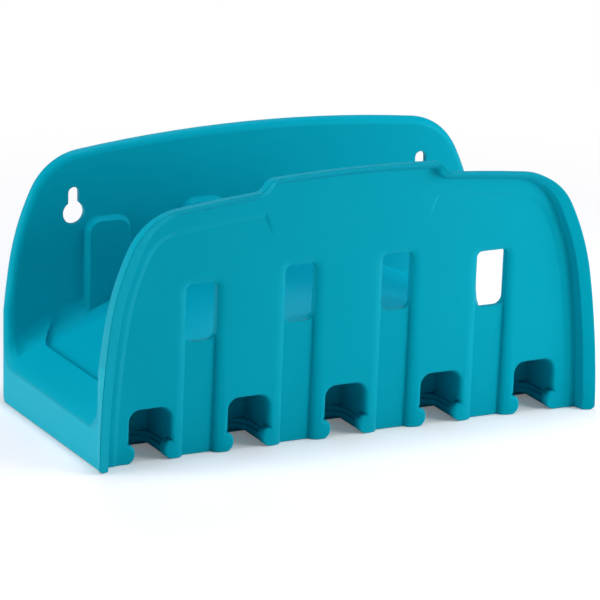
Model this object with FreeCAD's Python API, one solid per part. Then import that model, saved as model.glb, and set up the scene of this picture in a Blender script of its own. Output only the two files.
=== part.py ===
import FreeCAD, Part
import math
import os

# Wall bracket for a garden hose, moulded in one piece. Millimetres.
# +Z is up, +Y points to the wall, and X runs along the bracket.
# The origin is at the middle of the footprint, on the plane that the base stands on.

# Overall form
length = 264.0              # between the two flat end faces
depth = 126.0               # from the wall plane to the front of the rim
wall = 3.0                  # general wall thickness
shoulder_z = 131.4          # top of the shoulder line, on the middle plane
crest_rise = 5.8            # raised middle of the front panel above the shoulder line
edge_round = 4.2            # rounding of both panels' edges, and of the end faces, on the hose side
edge_count = 3              # strips in a rounded edge or flank

# Outline of both panels, seen from the front
rim_flare = 2.3             # how far the rim stands past each end face
side_radius = 480.0
haunch_start_z = 70.0       # where the side starts to curve in
haunch_radius = 130.0
corner_radius = 32.0
top_radius = 750.0
step_foot_x = 53.5          # centre of the small curve at the foot of the raised middle
step_radius = 7.0

# Front panel
lean_deg = 1.7              # the web leans out of the bracket at the top
rim_depth = 9.3             # web face behind the rim, at the base
crest_depth = 4.4           # ridge of the rim behind its outer edge, at the base
crest_lean_deg = 0.95
rim_land = 0.5
rim_face_side = 3.8
rim_face_top = 2.1
rim_wall_side = 2.8
rim_wall_top = 1.6
band_step = 0.7             # the flat band inside the rim stands proud of the web
band_side = 3.7
band_top = 7.1
band_slope = 2.5

# Name panel, left bare
plaque_top_half = 52.0
plaque_foot_half = 39.5
plaque_foot_z = 105.0
plaque_radius = 4.0
plaque_slope = 1.8
plaque_foot_fade = 9.0      # the plaque sinks into the web over this height

# Back panel
back_thickness = 4.4
back_flange = 3.5           # width of the edge that touches the wall
back_hollow = 1.4

# Hose saddle
saddle_radius = 220.0
saddle_top_z = 64.0
saddle_fillet = 9.0
lip_width = 16.5            # raised lip at each end of the saddle
lip_height = 2.5
lip_corner = 13.0
mouth_drop = 2.0            # rounding of the saddle's lip at the end faces

# Bays for hose fittings along the front
bay_count = 5
bay_pitch = 52.0
bay_width = 21.7
bay_top_z = 26.4
bay_corner = 5.5
bay_depth = 27.3            # from the web's face to the back of the pocket
bay_edge = 1.4              # rounding of the mouth's edge
neck_half = 11.5            # the mouth is a little wider just above the beads
neck_top_z = 10.3
seat_top_z = 7.0
seat_foot_z = 2.6
seat_slot_width = 16.8
seat_slot_gap = 1.2         # from the end of the slot to the back of the pocket
seat_ring_width = 1.4
seat_ring_depth = 2.0
bead_radius = 4.7
bead_z = 4.6
bead_half = 12.1            # half the distance between the two beads' centres
bead_length = 5.0
pocket_wall = 2.5
pocket_step = 0.1           # the pocket is a little narrower than its mouth

# Channels between the bays, and the windows in them
channel_depth = 3.5
channel_width = 25.4
channel_slope = 4.9
channel_corner = 7.5
channel_lean_deg = 2.8      # the channel's floor leans more than the web
channel_overlap = 0.3       # the window's top edge runs a little into the flank
window_width = 16.3
window_height = 29.2
window_top_outer_z = 86.2
window_top_inner_z = 90.2
window_top_corner = 2.4
window_foot_corner = 4.6

# Ridges behind the channels, and the like ones on the back panel
ridge_width = 25.0
ridge_height = 3.5
ridge_slope = 3.6
ridge_corner = 8.0
boss_width = 26.0
boss_height = 3.8
boss_slope = 2.4
boss_corner = 8.5
boss_top_outer_z = 92.0
boss_top_inner_z = 96.5
boss_foot_z = 30.0

# Keyholes for the two screws
keyhole_spacing = 192.2
keyhole_z = 94.4
keyhole_head_dia = 11.6
keyhole_slot_width = 6.0
keyhole_slot_top_z = 107.6

# Underside
rib_thickness = 2.0
rib_foot_z = 8.0
foot_round = 3.0            # small curve where the standing plane meets the wall side and the ends

# Sizes that follow from those above
half_length = length / 2
outline_half = half_length + rim_flare
rim_y = -depth / 2
wall_y = depth / 2
web_y = rim_y + rim_depth
band_y = web_y - band_step
hose_y = web_y + wall
flare_y = hose_y - edge_round
back_y = wall_y - back_thickness
rim_flat = outline_half - 0.1
below = 12.0                # how far raw shapes run past the base plane
far = 400.0
inside_play = 0.03          # keeps hidden raw faces of the base inside the panels


def vec(x, y, z):
    return FreeCAD.Vector(x, y, z)


def unit(a, b):
    dx = b[0] - a[0]
    dz = b[1] - a[1]
    size = math.hypot(dx, dz)
    return (dx / size, dz / size)


def toward(centre, radius, point):
    # the point at radius from centre, on the way to another point
    ux, uz = unit(centre, point)
    return (centre[0] + radius * ux, centre[1] + radius * uz)


def circles_meet(a, ra, b, rb, right):
    # one of the two points where two circles meet
    gap = math.hypot(b[0] - a[0], b[1] - a[1])
    ux, uz = unit(a, b)
    along = (ra * ra - rb * rb + gap * gap) / (2 * gap)
    across = math.sqrt(ra * ra - along * along)
    if right:
        across = -across
    return (a[0] + along * ux - across * uz, a[1] + along * uz + across * ux)


def arc(centre, radius, start, end):
    # an arc of under half a turn, as three points
    sx, sz = unit(centre, start)
    ex, ez = unit(centre, end)
    middle = (centre[0] + sx + ex, centre[1] + sz + ez)
    return (start, toward(centre, radius, middle), end)


def outline_half_arcs(side, top, raised, limit):
    # arcs from the foot of the +X side to the start of the top arc, upright up to the limit
    side_c = (outline_half - side_radius, 0.0)
    side_r = side_radius - side
    angle = math.asin(haunch_start_z / side_radius)
    haunch_c = (side_c[0] + (side_radius - haunch_radius) * math.cos(angle),
                (side_radius - haunch_radius) * math.sin(angle))
    haunch_r = haunch_radius - side
    top_c = (0.0, shoulder_z - top_radius)
    top_r = top_radius - top
    corner_r = corner_radius - (side + top) / 2
    corner_c = circles_meet(haunch_c, haunch_r - corner_r, top_c, top_r - corner_r, False)
    if corner_c[0] < 0:
        corner_c = circles_meet(haunch_c, haunch_r - corner_r, top_c, top_r - corner_r, True)

    foot = (side_c[0] + math.sqrt(side_r * side_r - below * below), -below)
    arcs = []
    if limit:
        meet = (limit, math.sqrt(side_r ** 2 - (limit - side_c[0]) ** 2))
        arcs.append(((limit, -below), meet))
        foot = meet
    side_end = toward(side_c, side_r, haunch_c)
    if side_end[0] < haunch_c[0]:
        side_end = (2 * haunch_c[0] - side_end[0], 2 * haunch_c[1] - side_end[1])
    haunch_end = toward(haunch_c, haunch_r, corner_c)
    corner_end = toward(top_c, top_r, corner_c)
    arcs.append(arc(side_c, side_r, foot, side_end))
    arcs.append(arc(haunch_c, haunch_r, side_end, haunch_end))
    arcs.append(arc(corner_c, corner_r, haunch_end, corner_end))
    if not raised:
        return arcs

    crest_c = (0.0, shoulder_z + crest_rise - top_radius)
    foot_reach = top_radius + step_radius
    foot_c = (step_foot_x, top_c[1] + math.sqrt(foot_reach ** 2 - step_foot_x ** 2))
    knee_c = circles_meet(crest_c, top_radius - step_radius, foot_c, 2 * step_radius, False)
    if knee_c[0] > step_foot_x:
        knee_c = circles_meet(crest_c, top_radius - step_radius, foot_c, 2 * step_radius, True)
    foot_r = step_radius + top
    knee_r = step_radius - top
    foot_start = toward(foot_c, foot_r, top_c)
    step_middle = toward(foot_c, foot_r, knee_c)
    knee_end = toward(crest_c, top_radius - top, knee_c)
    arcs.append(arc(top_c, top_r, corner_end, foot_start))
    arcs.append(arc(foot_c, foot_r, foot_start, step_middle))
    arcs.append(arc(knee_c, knee_r, step_middle, knee_end))
    return arcs


def wire_of(arcs):
    edges = []
    for points in arcs:
        corners = [vec(x, 0, z) for x, z in points]
        if len(corners) == 3:
            edges.append(Part.Arc(*corners).toShape())
        else:
            edges.append(Part.LineSegment(*corners).toShape())
    return Part.Wire(edges)


def outline(side, top, raised=True, limit=None):
    # closed outline of a panel in the XZ plane, moved in from the full outline
    right = outline_half_arcs(side, top, raised, limit)
    left = []
    for points in reversed(right):
        left.append(tuple((-x, z) for x, z in reversed(points)))
    peak = shoulder_z - top
    if raised:
        peak += crest_rise
    over = (right[-1][-1], (0.0, peak), left[0][0])
    base = (left[-1][-1], right[0][0])
    return wire_of(right + [over] + left + [base])


def rounded(points, radii):
    # closed outline in the XZ plane through the points, each corner with its own radius
    arcs = []
    count = len(points)
    for i in range(count):
        here = points[i]
        before = points[i - 1]
        after = points[(i + 1) % count]
        if radii[i] == 0:
            arcs.append((here, here, here))
            continue
        ax, az = unit(here, before)
        bx, bz = unit(here, after)
        half = math.acos(ax * bx + az * bz) / 2
        run = radii[i] / math.tan(half)
        mx, mz = unit((0, 0), (ax + bx, az + bz))
        reach = radii[i] / math.sin(half)
        centre = (here[0] + reach * mx, here[1] + reach * mz)
        start = (here[0] + run * ax, here[1] + run * az)
        end = (here[0] + run * bx, here[1] + run * bz)
        arcs.append(arc(centre, radii[i], start, end))
    edges = []
    for i in range(count):
        if radii[i] > 0:
            edges.append(arcs[i])
        edges.append((arcs[i][2], arcs[(i + 1) % count][0]))
    return wire_of(edges)


def arch_head(x, half, foot_z, top_z, radius):
    # upright outline with two rounded top corners
    points = [(x - half, foot_z), (x + half, foot_z), (x + half, top_z), (x - half, top_z)]
    return rounded(points, [0, 0, radius, radius])


def placed(shape, y, lean=0.0):
    # stands an XZ shape at y, leaning out at the top
    out = shape.copy()
    out.rotate(vec(0, 0, 0), vec(1, 0, 0), lean)
    out.translate(vec(0, y, 0))
    return out


def prism(wire, y_from, y_to, lean=0.0):
    face = Part.Face(wire)
    solid = face.extrude(vec(0, y_to - y_from, 0))
    return placed(solid, y_from, lean)


def loft(first, second):
    return Part.makeLoft([first, second], True, True)


def box(x0, x1, y0, y1, z0, z1):
    return Part.makeBox(x1 - x0, y1 - y0, z1 - z0, vec(x0, y0, z0))


def slab_before(y, lean):
    return placed(box(-far, far, -far, 0, -far, far), y, lean)


def channel_centres():
    start = -(bay_count / 2 - 1) * bay_pitch
    return [start + i * bay_pitch for i in range(bay_count - 1)]


def window_top(x):
    # the two windows nearest the ends sit a little lower
    if abs(x) > bay_pitch:
        return window_top_outer_z
    return window_top_inner_z


def soft_steps(height, slope):
    # an S-shaped flank, from a flush edge up to the crest
    shape = [(0.0, 0.0), (0.2, 0.3), (0.8, 0.72), (1.0, 1.0)]
    return [(height * a, slope * b) for a, b in shape]


def channel_section(x, y, half, top, corner, share):
    # the leaning outline of a channel, or of the ridge behind it, at a share of its depth
    lean = lean_deg + (channel_lean_deg - lean_deg) * share
    return placed(arch_head(x, half, -below, top, corner), y, lean)


def channel_tool(x):
    # the flank leaves the web softly and is steepest at the channel's floor
    half = channel_width / 2
    top = window_top(x) + channel_slope - channel_overlap
    wires = [channel_section(x, web_y - 1, half, top, channel_corner, 0)]
    for inset, depth_in in round_steps(1.0, edge_count):
        inset = channel_slope * inset
        wires.append(channel_section(x, web_y + channel_depth * depth_in, half - inset,
                                     top - inset, channel_corner - inset, depth_in))
    return Part.makeLoft(wires, True, True)


def ridge_solid(x):
    # the back of a channel, standing out of the web on the hose side
    half = ridge_width / 2
    top = window_top(x) + channel_slope + wall
    wires = [channel_section(x, hose_y - wall / 2, half, top, ridge_corner, 0)]
    for height, inset in [(0.0, 0.0), (1.0, ridge_slope)]:
        wires.append(channel_section(x, hose_y + ridge_height * height, half - inset,
                                     top - inset, ridge_corner - inset, height))
    return Part.makeLoft(wires, True, True)


def boss_top(x):
    if abs(x) > bay_pitch:
        return boss_top_outer_z
    return boss_top_inner_z


def boss_solid(x, skin, foot_z, flank):
    # raised pad on the back panel, or its hollow when moved in by a skin
    top = boss_top(x) - skin
    steps = [(-wall / 2, 0.0)] + flank
    wires = []
    for height, inset in steps:
        half = boss_width / 2 - skin - inset
        corner = boss_corner - skin / 2 - inset
        wires.append(placed(arch_head(x, half, foot_z, top - inset, corner), back_y - height))
    return Part.makeLoft(wires, True, True)


def window_tool(x):
    half = window_width / 2
    top = window_top(x)
    foot = top - window_height
    points = [(x - half, foot), (x + half, foot), (x + half, top), (x - half, top)]
    radii = [window_foot_corner, window_foot_corner, window_top_corner, window_top_corner]
    return prism(rounded(points, radii), web_y - wall, web_y + 5 * wall, lean_deg)


def round_steps(radius, count):
    # a quarter-round edge: depth towards the face, and how far the outline moves in
    out = []
    for i in range(count + 1):
        angle = math.pi / 2 * i / count
        out.append((radius * math.sin(angle), radius * (1 - math.cos(angle))))
    return out


def front_panel():
    # slab with end faces that flare out to the rim and rounded edges on the hose side
    run = flare_y - rim_y
    reach = rim_flat - half_length
    radius = (run ** 2 + reach ** 2) / (2 * reach)
    wires = []
    for share in (0.0, 0.45):
        y = rim_y + share * run
        limit = half_length + radius - math.sqrt(radius ** 2 - (flare_y - y) ** 2)
        wires.append(placed(outline(0, 0, True, limit), y, lean_deg * share))
    for depth_in, inset in round_steps(edge_round, edge_count):
        section = outline(inset, inset, True, half_length - inset)
        wires.append(placed(section, flare_y + depth_in, lean_deg))
    return Part.makeLoft(wires, True, True)


def plaque_section(share):
    # a trapezoid whose sloping sides open towards the top, at a share of the band's height
    spread = (plaque_top_half - plaque_foot_half) / (shoulder_z - plaque_foot_z)
    foot_z = plaque_foot_z + plaque_foot_fade * (1 - share)
    grow = plaque_slope * share
    foot = plaque_foot_half + spread * (foot_z - plaque_foot_z) + grow
    top = plaque_top_half + grow
    points = [(-foot, foot_z), (foot, foot_z), (top, shoulder_z), (-top, shoulder_z)]
    section = rounded(points, [plaque_radius, plaque_radius, 0, 0])
    return placed(section, band_y + band_step * share, lean_deg)


def rim_tools():
    # slanted face of the rim, its inner wall, and the shallow field inside the band
    face_side = rim_land + rim_face_side
    face_top = rim_land + rim_face_top
    crest = outline(face_side, face_top)
    groove = outline(face_side + rim_wall_side, face_top + rim_wall_top)
    middle = outline(rim_land + 0.6 * rim_face_side, rim_land + 0.6 * rim_face_top)
    face = Part.makeLoft([placed(outline(rim_land, rim_land), rim_y),
                          placed(middle, rim_y + 0.42 * crest_depth, 0.4 * crest_lean_deg),
                          placed(crest, rim_y + crest_depth, crest_lean_deg)], True, True)
    inner = loft(placed(crest, rim_y + crest_depth - 0.3, crest_lean_deg),
                 placed(groove, band_y, lean_deg))
    side = face_side + rim_wall_side + band_side
    top = face_top + rim_wall_top + band_top
    wires = [placed(outline(side, top, False), band_y - 0.3, lean_deg),
             placed(outline(side, top, False), band_y, lean_deg),
             placed(outline(side + band_slope, top + band_slope, False), web_y, lean_deg)]
    field = Part.makeLoft(wires, True, True)
    plaque = loft(plaque_section(-0.5), plaque_section(1.5))
    return [face, inner, field.cut(plaque)]


def arch_profile(radius, x_half, low_z, high_z, above):
    # XZ outline bounded by the saddle's arc, either the part over it or the part under it
    centre_z = saddle_top_z - saddle_radius
    edge_z = centre_z + math.sqrt(radius ** 2 - x_half ** 2)
    over = ((-x_half, edge_z), (0.0, centre_z + radius), (x_half, edge_z))
    flat = high_z if above else low_z
    return wire_of([over, ((x_half, edge_z), (x_half, flat)),
                    ((x_half, flat), (-x_half, flat)), ((-x_half, flat), (-x_half, edge_z))])


def trough_steps():
    # the fillet between the saddle and a panel: distance from the panel, and rise
    return [(moved, saddle_fillet - risen) for risen, moved in round_steps(saddle_fillet, edge_count)]


def trough_tool(drop, x_half):
    # the space for the hose between the two panels, over the saddle
    def section(rise):
        return arch_profile(saddle_radius - drop + rise, x_half, 0, far, True)
    steps = trough_steps()
    front = [placed(section(rise), hose_y + off, lean_deg) for off, rise in steps]
    front.append(placed(section(0), hose_y + saddle_fillet + wall))
    back = [placed(section(rise), back_y - off) for off, rise in reversed(steps)]
    return Part.makeLoft(front + back, True, True)


def mouth_section(side, x, off, drop):
    # the trough's cross section at one x, widened by off and lowered by drop
    slope = math.tan(math.radians(lean_deg))
    top = saddle_top_z
    front = [vec(side * x, hose_y - off - slope * top, top)]
    back = [vec(side * x, back_y + off, top)]
    for moved, rise in trough_steps():
        z = saddle_top_z - saddle_radius + math.sqrt((saddle_radius + rise) ** 2 - x ** 2) - drop
        front.append(vec(side * x, hose_y - off - slope * z + moved, z))
        back.append(vec(side * x, back_y + off - moved, z))
    points = front + list(reversed(back))
    return Part.makePolygon(points + [points[0]])


def mouth_tool(side):
    # rounds the trough's edge where it opens through an end face
    sections = [(half_length - edge_round - 0.1, -0.02)]
    for depth_in, inset in reversed(round_steps(edge_round, edge_count)[:-1]):
        sections.append((half_length - inset, edge_round - depth_in))
    sections.append((half_length + 1, edge_round))
    wires = []
    for x, off in sections:
        drop = mouth_drop * off / edge_round
        wires.append(mouth_section(side, x, off + inside_play, drop))
    return Part.makeLoft(wires, True, True)


def saddle_field_tool():
    # lowers the saddle between the two end lips
    half = half_length - lip_width
    raw = trough_tool(lip_height, half + 5.0)
    plan = box(-half, half, web_y - wall, back_y, 0, far)
    edges = [e for e in plan.Edges if abs(e.BoundBox.ZLength - far) < 1]
    return raw.common(plan.makeFillet(lip_corner, edges))


def cavity(drop, x_from, x_to):
    # hollow under the saddle
    radius = saddle_radius - drop
    raw = prism(arch_profile(radius, half_length + 5, -below, 0, False), hose_y - below, back_y)
    raw = raw.cut(slab_before(hose_y, lean_deg))
    return raw.common(box(x_from, x_to, -far, far, -far, far))


def saddle_height(x):
    return saddle_top_z - saddle_radius + math.sqrt(saddle_radius ** 2 - x ** 2)


def bay_centres():
    return [(i - (bay_count - 1) / 2) * bay_pitch for i in range(bay_count)]


def mouth_outline(x, grow):
    # a bay's mouth: an arch over a neck and two beads, with the whole edge moved back by grow
    half = bay_width / 2 + grow
    neck = neck_half + grow
    bead = bead_radius - grow
    tip = bead_half - bead
    corner = bay_corner + grow
    right = [(bead_half, -below, 0),
             (bead_half, bead_z - bead_radius, 0),
             (tip, bead_z - bead_radius, 0.98 * bead),
             (tip, bead_z + bead, 0.86 * bead),
             (neck, bead_z + bead, 0),
             (neck, neck_top_z, 0),
             (half, neck_top_z + neck_half - bay_width / 2, 0),
             (half, bay_top_z + grow, corner)]
    left = [(-px, pz, r) for px, pz, r in reversed(right)]
    points = [(x + px, pz) for px, pz, r in right + left]
    return rounded(points, [r for px, pz, r in right + left])


def bay_tools(x):
    # the mouth with its rounded edge, and the pocket behind it
    wires = [placed(mouth_outline(x, bay_edge), web_y - 1, lean_deg)]
    for depth_in, inset in round_steps(bay_edge, 2):
        wires.append(placed(mouth_outline(x, bay_edge - depth_in), web_y + inset, lean_deg))
    wires.append(placed(mouth_outline(x, 0), web_y + bead_length + 0.3))
    half = bay_width / 2 - pocket_step
    arch = arch_head(x, half, -below, bay_top_z - pocket_step, bay_corner)
    return [Part.makeLoft(wires, True, True), prism(arch, web_y + bead_length, web_y + bay_depth)]


def pocket_block(x):
    # walls round a bay inside the hollow base
    half = bay_width / 2 + pocket_wall
    profile = arch_head(x, half, -below, bay_top_z + pocket_wall, bay_corner + pocket_wall)
    return prism(profile, web_y + 1, web_y + bay_depth + pocket_wall)


def rib(x):
    top = saddle_height(x) - lip_height - wall / 2
    return box(x - rib_thickness / 2, x + rib_thickness / 2, web_y + 1, back_y + 1, rib_foot_z, top)


def base_block():
    # solid under the saddle with its hollow, pockets and ribs, and the trough cut out
    shape = prism(arch_profile(saddle_radius + below, half_length, -below, 0, False),
                  flare_y - 0.5, wall_y)
    inside = half_length - wall
    lip_inside = half_length - lip_width + wall
    for drop, x_from, x_to in [(lip_height + wall, -inside, inside),
                               (wall, lip_inside, inside), (wall, -inside, -lip_inside)]:
        shape = shape.cut(cavity(drop, x_from, x_to))
    blocks = [pocket_block(x) for x in bay_centres()]
    blocks += [rib(x) for x in channel_centres()]
    shape = shape.fuse(blocks)
    shape = shape.cut([trough_tool(0, half_length + 5), saddle_field_tool()])
    return shape.cut([mouth_tool(side) for side in (-1, 1)])


def back_panel():
    wires = []
    for depth_in, inset in reversed(round_steps(edge_round, edge_count)):
        section = outline(inset, inset, False, half_length - inset)
        wires.append(placed(section, back_y + edge_round - depth_in))
    wires.append(placed(outline(0, 0, False, half_length), wall_y))
    return Part.makeLoft(wires, True, True)


def back_hollow_tool():
    # shallow hollow in the face that touches the wall, open to the bosses
    inset = outline(back_flange + rim_flare, back_flange, False)
    shape = prism(inset, wall_y - back_hollow, wall_y + 1)
    return shape.common(box(-far, far, 0, far, back_flange, far))


def keyhole_tool(x):
    half = keyhole_slot_width / 2
    reach = keyhole_slot_top_z - half
    parts = [Part.makeCylinder(keyhole_head_dia / 2, 40, vec(x, back_y - 20, keyhole_z), vec(0, 1, 0)),
             box(x - half, x + half, back_y - 20, back_y + 20, keyhole_z, reach),
             Part.makeCylinder(half, 40, vec(x, back_y - 20, reach), vec(0, 1, 0))]
    return parts[0].fuse(parts[1:])


def seat(x):
    # plate in the foot of a bay with a slot, open to the front, that takes a fitting's neck
    back = web_y + bay_depth
    half = seat_slot_width / 2
    ring = half + seat_ring_width
    centre_y = back - seat_slot_gap - half
    reach = bay_width / 2 + 1
    front = web_y + bead_length - 0.5
    plate = box(x - reach, x + reach, front, back + 1, seat_foot_z, seat_top_z)
    slot = box(x - half, x + half, web_y - 9, centre_y, -1, seat_top_z + 1)
    slot = slot.fuse(Part.makeCylinder(half, seat_top_z + 2, vec(x, centre_y, -1)))
    step_z = seat_top_z - seat_ring_depth
    step = box(x - ring, x + ring, web_y - 9, centre_y, step_z, seat_top_z + 1)
    step = step.fuse(Part.makeCylinder(ring, seat_top_z, vec(x, centre_y, step_z)))
    return plate.cut([slot, step])


def foot_form():
    # upright bounds: the standing plane with a small curve at each end
    half = outline_half
    points = [(-half, 0), (half, 0), (half, far), (-half, far)]
    return prism(rounded(points, [foot_round, foot_round, 0, 0]), -far, far)


def rear_foot_tool():
    # rounds the corner between the standing plane and the wall side
    r = foot_round
    points = [(wall_y + 9, -9), (wall_y - r - 1.5, -9), (wall_y - r - 1.5, -0.4)]
    for depth_in, inset in round_steps(r, 4)[1:-1]:
        points.append((wall_y - r + depth_in, inset))
    points += [(wall_y + 0.4, r + 1.5), (wall_y + 9, r + 1.5), (wall_y + 9, -9)]
    face = Part.Face(Part.makePolygon([vec(-far, y, z) for y, z in points]))
    return face.extrude(vec(2 * far, 0, 0))


def boss(x):
    # a pad that ends in the saddle
    shape = boss_solid(x, 0, boss_foot_z, soft_steps(boss_height, boss_slope))
    return shape.cut(cavity(wall, -half_length, half_length))


def boss_hollow(x):
    # hollow of a boss, open to the wall side and ending above the saddle's underside
    inner = abs(x) - boss_width / 2
    foot_z = saddle_height(inner) - lip_height
    hollow = boss_solid(x, wall, foot_z, [(0.0, 0.0), (boss_height, boss_slope)])
    hollow.translate(vec(0, wall, 0))
    return hollow


def hose_hanger():
    body = front_panel().fuse([back_panel(), base_block()])
    body = body.fuse([ridge_solid(x) for x in channel_centres()])
    body = body.fuse([boss(x) for x in channel_centres()])
    body = body.cut(rim_tools())
    body = body.cut([channel_tool(x) for x in channel_centres()])
    body = body.cut([window_tool(x) for x in channel_centres()])
    for x in bay_centres():
        body = body.cut(bay_tools(x))
    body = body.fuse([seat(x) for x in bay_centres()])
    body = body.cut([back_hollow_tool()])
    body = body.cut([boss_hollow(x) for x in channel_centres()])
    body = body.cut([keyhole_tool(side * keyhole_spacing / 2) for side in (-1, 1)])
    body = body.cut(rear_foot_tool())
    body = body.common(foot_form())
    return body.removeSplitter()


def main():
    os.makedirs("parts", exist_ok=True)
    shape = hose_hanger()
    solids = shape.Solids
    if len(solids) != 1:
        raise ValueError("expected one solid, found %d" % len(solids))
    solids[0].exportStep("parts/hose_hanger.step")


main()
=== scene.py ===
import math

import bpy
from mathutils import Matrix, Vector


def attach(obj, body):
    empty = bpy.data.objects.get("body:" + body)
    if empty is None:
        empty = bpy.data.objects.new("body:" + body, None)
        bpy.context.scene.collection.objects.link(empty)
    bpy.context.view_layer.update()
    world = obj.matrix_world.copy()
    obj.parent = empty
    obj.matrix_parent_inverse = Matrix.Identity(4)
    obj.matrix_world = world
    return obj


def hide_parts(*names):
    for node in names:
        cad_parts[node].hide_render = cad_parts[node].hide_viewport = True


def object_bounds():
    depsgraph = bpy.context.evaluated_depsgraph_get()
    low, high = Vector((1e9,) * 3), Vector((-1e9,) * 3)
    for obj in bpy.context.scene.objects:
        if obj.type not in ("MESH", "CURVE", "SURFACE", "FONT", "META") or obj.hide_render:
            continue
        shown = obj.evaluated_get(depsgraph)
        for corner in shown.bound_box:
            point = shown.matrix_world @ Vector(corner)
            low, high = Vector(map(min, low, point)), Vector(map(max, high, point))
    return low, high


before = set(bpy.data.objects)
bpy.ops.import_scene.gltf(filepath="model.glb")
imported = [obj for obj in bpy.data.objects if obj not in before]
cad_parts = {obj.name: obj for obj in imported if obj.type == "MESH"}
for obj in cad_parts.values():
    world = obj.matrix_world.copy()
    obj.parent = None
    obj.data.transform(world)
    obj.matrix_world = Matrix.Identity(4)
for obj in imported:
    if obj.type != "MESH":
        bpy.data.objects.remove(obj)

# Hose hanger on a plain floor, seen from its left front. Metres.

cad_low, cad_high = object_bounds()
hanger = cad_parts["hose_hanger"]
width = cad_high.x - cad_low.x

# Camera, as in the photograph
camera_azimuth = math.radians(25.933)
camera_elevation = math.radians(16.124)
camera_roll = math.radians(1.002)
camera_distance = 2.2807
camera_target = Vector((-0.01294, -0.02769, 0.06353))
camera_lens = 280.53
sensor_width = 36.0
camera_clip = 100

# Plastic
shell_color = (0.0, 0.338, 0.449, 1.0)
shell_pale = (0.0, 0.352, 0.467, 1.0)
# paler colour for the end faces: painted light, where the left lamp falls on them
end_painted_light = (0.0, 0.405, 0.53, 1.0)
sheen_color = (0.0, 0.85, 1.0, 1.0)
sheen_level = 0.22
roughness_range = (0.42, 0.54)
mottle_scale = 35.0
grain_scale = 900.0
grain_depth = 0.0003
grain_strength = (0.05, 0.8)
edge_softness = 0.0007

# End faces: beyond this plane, and facing sideways at least so much
end_plane = width / 2 - 0.0027
end_facing = 0.98

# Saddle, whose edges stay as they are: behind and below
saddle_front = -0.045
saddle_top = 0.05

# Low steps beside the rim: their foot on the leaning panel, how far they face forward,
# and how much their slope counts in the shading, twice where they face right
panel_lean = 0.0295
band_foot = -0.05375
band_limit = -0.0586
band_facing = (-0.985, -0.88)
band_slope = 0.9
right_facing = 0.05

# Mesh: seams closer than this are joined, and edges flatter than this are smooth
seam_gap = 2e-6
smooth_angle = math.radians(47)

# Lines across the rim's inner wall: Y at the base, and the way forward per metre of height
rim_foot = (-0.0547, panel_lean)
rim_crest = (-0.0586, 0.017)
rim_face = (-0.0612, 0.0064)
rim_front = (cad_low.y, 0.0)

# How far the crest and the face line go forward, and the crest inward. Above arch_foot the
# rim turns into the arch.
crest_lift = 0.0018
face_lift = 0.0007
crest_reach = 0.0013
arch_foot = 0.06
inward_limit = -0.01
forward_limit = -0.3

# Surroundings
white = (1, 1, 1, 1)
floor_size = 30
floor_gap = 0.0002
floor_color = (0.92, 0.92, 0.92, 1.0)
floor_roughness = 0.9
floor_lift = 0.15
floor_near = 0.2
floor_far = 0.6
world_strength = 0.065
sky_tint = (0.98, 1.0, 1.15)


def feed(tree, socket, value):
    # a constant is set on the socket, and another node's output is linked to it
    if isinstance(value, bpy.types.NodeSocket):
        tree.links.new(value, socket)
    else:
        socket.default_value = value


def node_of(tree, kind, **inputs):
    node = tree.nodes.new(kind)
    for name, value in inputs.items():
        feed(tree, node.inputs[name.replace("_", " ")], value)
    return node


def math_node(tree, operation, first, second=0.0):
    node = tree.nodes.new("ShaderNodeMath")
    node.operation = operation
    feed(tree, node.inputs[0], first)
    feed(tree, node.inputs[1], second)
    return node.outputs[0]


def both(tree, first, second):
    return math_node(tree, "MULTIPLY", first, second)


def vector_node(tree, operation, *vectors):
    node = tree.nodes.new("ShaderNodeVectorMath")
    node.operation = operation
    for socket, vector in zip(node.inputs, vectors):
        feed(tree, socket, vector)
    return node.outputs


def split(tree, vector):
    return node_of(tree, "ShaderNodeSeparateXYZ", Vector=vector).outputs


def join(tree, x, y, z):
    return node_of(tree, "ShaderNodeCombineXYZ", X=x, Y=y, Z=z).outputs[0]


def mix_node(tree, kind, factor, first, second):
    node = tree.nodes.new("ShaderNodeMix")
    node.data_type = kind
    feed(tree, node.inputs["Factor"], factor)
    feed(tree, node.inputs["A"], first)
    feed(tree, node.inputs["B"], second)
    return node.outputs["Result"]


def mix_shaders(tree, factor, first, second):
    node = tree.nodes.new("ShaderNodeMixShader")
    for socket, value in zip(node.inputs, (factor, first, second)):
        tree.links.new(value, socket)
    return node.outputs[0]


def range_node(tree, value, low, high):
    node = node_of(tree, "ShaderNodeMapRange", Value=value, To_Min=low, To_Max=high)
    return node.outputs[0]


def end_mask(tree, reach, facing):
    outer = math_node(tree, "GREATER_THAN", reach, end_plane)
    sideways = math_node(tree, "ABSOLUTE", facing["X"])
    return both(tree, outer, math_node(tree, "GREATER_THAN", sideways, end_facing))


def saddle_mask(tree, spot, reach):
    behind = math_node(tree, "GREATER_THAN", spot["Y"], saddle_front)
    below = math_node(tree, "LESS_THAN", spot["Z"], saddle_top)
    inside = math_node(tree, "LESS_THAN", reach, end_plane)
    return both(tree, behind, both(tree, below, inside))


def band_mask(tree, spot, facing):
    rise = math_node(tree, "ADD", spot["Y"], both(tree, spot["Z"], panel_lean))
    gentle = both(tree, math_node(tree, "LESS_THAN", facing["Y"], band_facing[1]),
                  math_node(tree, "GREATER_THAN", facing["Y"], band_facing[0]))
    proud = both(tree, math_node(tree, "LESS_THAN", rise, band_foot),
                 math_node(tree, "GREATER_THAN", spot["Y"], band_limit))
    return both(tree, gentle, proud)


def band_normal(tree, normal, facing):
    to_right = math_node(tree, "GREATER_THAN", facing["X"], right_facing)
    slope = math_node(tree, "ADD", both(tree, to_right, band_slope), band_slope)
    turned = vector_node(tree, "MULTIPLY", normal, join(tree, slope, 1.0, slope))[0]
    return vector_node(tree, "NORMALIZE", turned)[0]


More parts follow.
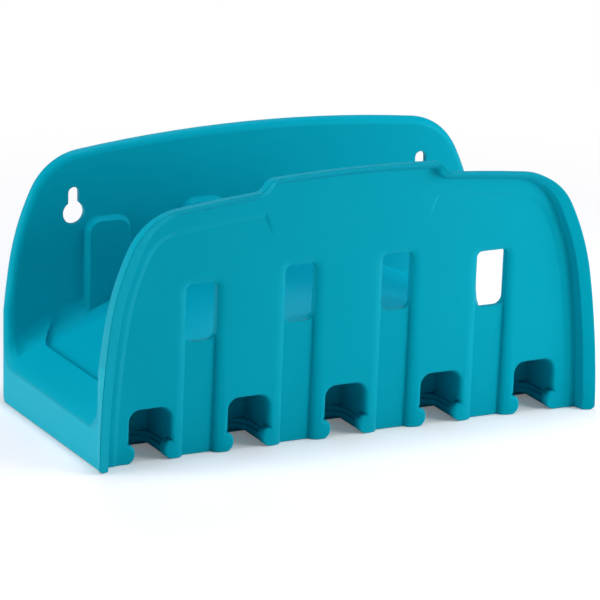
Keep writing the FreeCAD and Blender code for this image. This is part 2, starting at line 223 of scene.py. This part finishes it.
def shell_material():
    # satin plastic, with a grain that is coarser on the flat end faces, and a paler colour there
    # that is painted light from the left lamp
    material = bpy.data.materials.new("shell")
    material.use_nodes = True
    tree = material.node_tree
    tree.nodes.clear()
    out = tree.nodes.new("ShaderNodeOutputMaterial")
    shader = tree.nodes.new("ShaderNodeBsdfPrincipled")
    tree.links.new(shader.outputs[0], out.inputs["Surface"])
    shader.inputs["Specular IOR Level"].default_value = sheen_level
    shader.inputs["Specular Tint"].default_value = sheen_color

    place = tree.nodes.new("ShaderNodeTexCoord").outputs["Object"]
    normal = tree.nodes.new("ShaderNodeNewGeometry").outputs["True Normal"]
    spot = split(tree, place)
    facing = split(tree, normal)
    reach = math_node(tree, "ABSOLUTE", spot["X"])
    ends = end_mask(tree, reach, facing)

    mottle = node_of(tree, "ShaderNodeTexNoise", Vector=place, Scale=mottle_scale,
                     Detail=4.0).outputs["Fac"]
    tint = mix_node(tree, "RGBA", mottle, shell_color, shell_pale)
    # the end faces take the paler colour, painted light from the left lamp
    feed(tree, shader.inputs["Base Color"], mix_node(tree, "RGBA", ends, tint, end_painted_light))
    feed(tree, shader.inputs["Roughness"], range_node(tree, mottle, *roughness_range))

    softened = math_node(tree, "SUBTRACT", 1.0, saddle_mask(tree, spot, reach))
    bevel = node_of(tree, "ShaderNodeBevel", Radius=both(tree, softened, edge_softness))
    bevel.samples = 6
    form = mix_node(tree, "VECTOR", band_mask(tree, spot, facing), bevel.outputs[0],
                    band_normal(tree, normal, facing))
    grain = node_of(tree, "ShaderNodeTexNoise", Vector=place, Scale=grain_scale,
                    Detail=3.0, Roughness=0.6).outputs["Fac"]
    bump = node_of(tree, "ShaderNodeBump", Distance=grain_depth, Height=grain, Normal=form,
                   Strength=range_node(tree, ends, *grain_strength))
    tree.links.new(bump.outputs[0], shader.inputs["Normal"])
    return material


def modifier_group(name):
    # an empty geometry node group, with the socket that comes in and the one that goes out
    tree = bpy.data.node_groups.new(name, "GeometryNodeTree")
    for in_out in ("INPUT", "OUTPUT"):
        tree.interface.new_socket("Geometry", in_out=in_out, socket_type="NodeSocketGeometry")
    tree.is_modifier = True
    start = tree.nodes.new("NodeGroupInput").outputs[0]
    end = tree.nodes.new("NodeGroupOutput").inputs[0]
    return tree, start, end


def rim_form():
    # makes the rim's inner wall steep and its front face flat, less and less along the arch
    tree, start, end = modifier_group("rim_form")
    x, y, z = split(tree, tree.nodes.new("GeometryNodeInputPosition").outputs[0])
    facing = split(tree, tree.nodes.new("GeometryNodeInputNormal").outputs[0])

    rising = both(tree, facing["Z"], math_node(tree, "GREATER_THAN", z, arch_foot))
    across = both(tree, x, facing["X"])
    upward = both(tree, math_node(tree, "SUBTRACT", z, arch_foot), rising)
    outward = math_node(tree, "ADD", across, upward)
    inner = both(tree, math_node(tree, "LESS_THAN", outward, inward_limit),
                 math_node(tree, "LESS_THAN", facing["Y"], forward_limit))
    inward = vector_node(tree, "NORMALIZE", join(tree, facing["X"], 0.0, rising))[0]
    way = split(tree, inward)
    share = both(tree, way["X"], way["X"])

    def line_at(line):
        at_base, per_height = line
        return math_node(tree, "SUBTRACT", at_base, both(tree, z, per_height))

    def climb(bottom, top):
        ramp = node_of(tree, "ShaderNodeMapRange", Value=y, From_Min=line_at(bottom),
                       From_Max=line_at(top))
        return ramp.outputs[0]

    wall = climb(rim_foot, rim_crest)
    face = climb(rim_crest, rim_face)
    edge = climb(rim_face, rim_front)
    lift = both(tree, wall, -crest_lift)
    lift = math_node(tree, "ADD", lift, both(tree, face, crest_lift - face_lift))
    lift = math_node(tree, "ADD", lift, both(tree, edge, face_lift))
    reach = both(tree, math_node(tree, "SUBTRACT", wall, face), crest_reach)
    offset = [both(tree, share, both(tree, direction, amount))
              for direction, amount in ((way["X"], reach), (1.0, lift), (way["Z"], reach))]
    move = node_of(tree, "GeometryNodeSetPosition", Geometry=start, Selection=inner,
                   Offset=join(tree, *offset))
    tree.links.new(move.outputs[0], end)
    return tree


def edge_shading():
    # shades an edge sharp only where its faces turn by more than the angle
    tree, start, end = modifier_group("edge_shading")
    angle = tree.nodes.new("GeometryNodeInputMeshEdgeAngle").outputs["Unsigned Angle"]
    faces = node_of(tree, "GeometryNodeSetShadeSmooth", Geometry=start)
    edges = node_of(tree, "GeometryNodeSetShadeSmooth", Geometry=faces.outputs[0],
                    Shade_Smooth=math_node(tree, "LESS_THAN", angle, smooth_angle))
    edges.domain = "EDGE"
    tree.links.new(edges.outputs[0], end)
    return tree


def make_shell():
    # stands for the CAD node, with its seams joined, its rim reshaped and its curved faces smooth
    mesh = hanger.data.copy()
    mesh.name = "hanger_shell"
    mesh.materials.clear()
    mesh.materials.append(shell_material())
    stored = mesh.attributes.get("custom_normal")
    if stored:
        mesh.attributes.remove(stored)
    shell = bpy.data.objects.new("hanger_shell", mesh)
    bpy.context.scene.collection.objects.link(shell)
    shell.modifiers.new("seams", "WELD").merge_threshold = seam_gap
    shell.modifiers.new("rim", "NODES").node_group = rim_form()
    shell.modifiers.new("shading", "NODES").node_group = edge_shading()
    shell.modifiers.new("flats", "WEIGHTED_NORMAL").keep_sharp = True
    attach(shell, "root")
    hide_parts("hose_hanger")


def backdrop_material():
    # a pale floor that takes the shadow by the bracket and is plain white to the camera farther off
    material = bpy.data.materials.new("floor")
    material.use_nodes = True
    tree = material.node_tree
    camera_ray = tree.nodes.new("ShaderNodeLightPath").outputs["Is Camera Ray"]
    shader = tree.nodes["Principled BSDF"]
    shader.inputs["Base Color"].default_value = floor_color
    shader.inputs["Roughness"].default_value = floor_roughness
    shader.inputs["Specular IOR Level"].default_value = 0.0
    shader.inputs["Emission Color"].default_value = white
    feed(tree, shader.inputs["Emission Strength"], both(tree, camera_ray, floor_lift))
    place = tree.nodes.new("ShaderNodeTexCoord").outputs["Object"]
    fade = node_of(tree, "ShaderNodeMapRange", Value=vector_node(tree, "LENGTH", place)["Value"],
                   From_Min=floor_near, From_Max=floor_far)
    fade.interpolation_type = "SMOOTHSTEP"
    plain = node_of(tree, "ShaderNodeEmission", Strength=1.0)
    mixed = mix_shaders(tree, both(tree, camera_ray, fade.outputs[0]), shader.outputs[0],
                        plain.outputs[0])
    tree.links.new(mixed, tree.nodes["Material Output"].inputs["Surface"])
    return material


def make_floor():
    bpy.ops.mesh.primitive_plane_add(size=floor_size, location=(0, 0, cad_low.z - floor_gap))
    floor = bpy.context.object
    floor.name = "floor"
    floor.data.materials.append(backdrop_material())


def make_world():
    # even light all round, and plain white behind the object
    world = bpy.data.worlds.new("studio")
    bpy.context.scene.world = world
    world.use_nodes = True
    tree = world.node_tree
    tree.nodes.clear()
    out = tree.nodes.new("ShaderNodeOutputWorld")
    path = tree.nodes.new("ShaderNodeLightPath").outputs
    seen = math_node(tree, "MAXIMUM", path["Is Camera Ray"], path["Is Transmission Ray"])
    soft = node_of(tree, "ShaderNodeBackground", Color=white, Strength=world_strength)
    plain = node_of(tree, "ShaderNodeBackground", Color=white, Strength=1.0)
    mixed = mix_shaders(tree, seen, soft.outputs[0], plain.outputs[0])
    tree.links.new(mixed, out.inputs["Surface"])


def direction(azimuth, elevation):
    # azimuth 0 is in front of the bracket and a quarter turn at its right end
    return Vector((math.sin(azimuth) * math.cos(elevation),
                   -math.cos(azimuth) * math.cos(elevation), math.sin(elevation)))


def area_light(name, azimuth, elevation, distance, size, watts, color=(1, 1, 1)):
    toward = direction(math.radians(azimuth), math.radians(elevation))
    data = bpy.data.lights.new(name, "AREA")
    data.shape = "SQUARE"
    data.size = size
    data.energy = watts
    data.color = color
    lamp = bpy.data.objects.new(name, data)
    bpy.context.scene.collection.objects.link(lamp)
    lamp.location = (cad_low + cad_high) / 2 + toward * distance
    lamp.rotation_mode = "QUATERNION"
    lamp.rotation_quaternion = toward.to_track_quat("Z", "Y")


def make_lights():
    # azimuth and elevation in degrees, distance and size in metres, watts
    area_light("left", -96, 11, 1.3, 0.9, 13.2)
    area_light("front_right", 40, 14, 1.3, 0.5, 6.5)
    area_light("top", 0, 88, 1.3, 0.5, 8.5, sky_tint)
    area_light("rear", 160, 50, 1.3, 0.5, 2.6)
    area_light("near_right", 58, 22, 0.55, 0.3, 1.15)


def make_camera():
    back = direction(-camera_azimuth, camera_elevation)
    level = Vector((math.cos(camera_azimuth), -math.sin(camera_azimuth), 0))
    over = back.cross(level)
    right = level * math.cos(camera_roll) + over * math.sin(camera_roll)
    up = over * math.cos(camera_roll) - level * math.sin(camera_roll)
    data = bpy.data.cameras.new("camera")
    data.lens = camera_lens
    data.sensor_width = sensor_width
    data.clip_end = camera_clip
    camera = bpy.data.objects.new("camera", data)
    bpy.context.scene.collection.objects.link(camera)
    turn = Matrix((right, up, back)).transposed().to_4x4()
    camera.matrix_world = Matrix.Translation(camera_target + back * camera_distance) @ turn
    bpy.context.scene.camera = camera


make_shell()
make_floor()
make_world()
make_lights()
make_camera()
bpy.context.scene.view_settings.view_transform = "Standard"
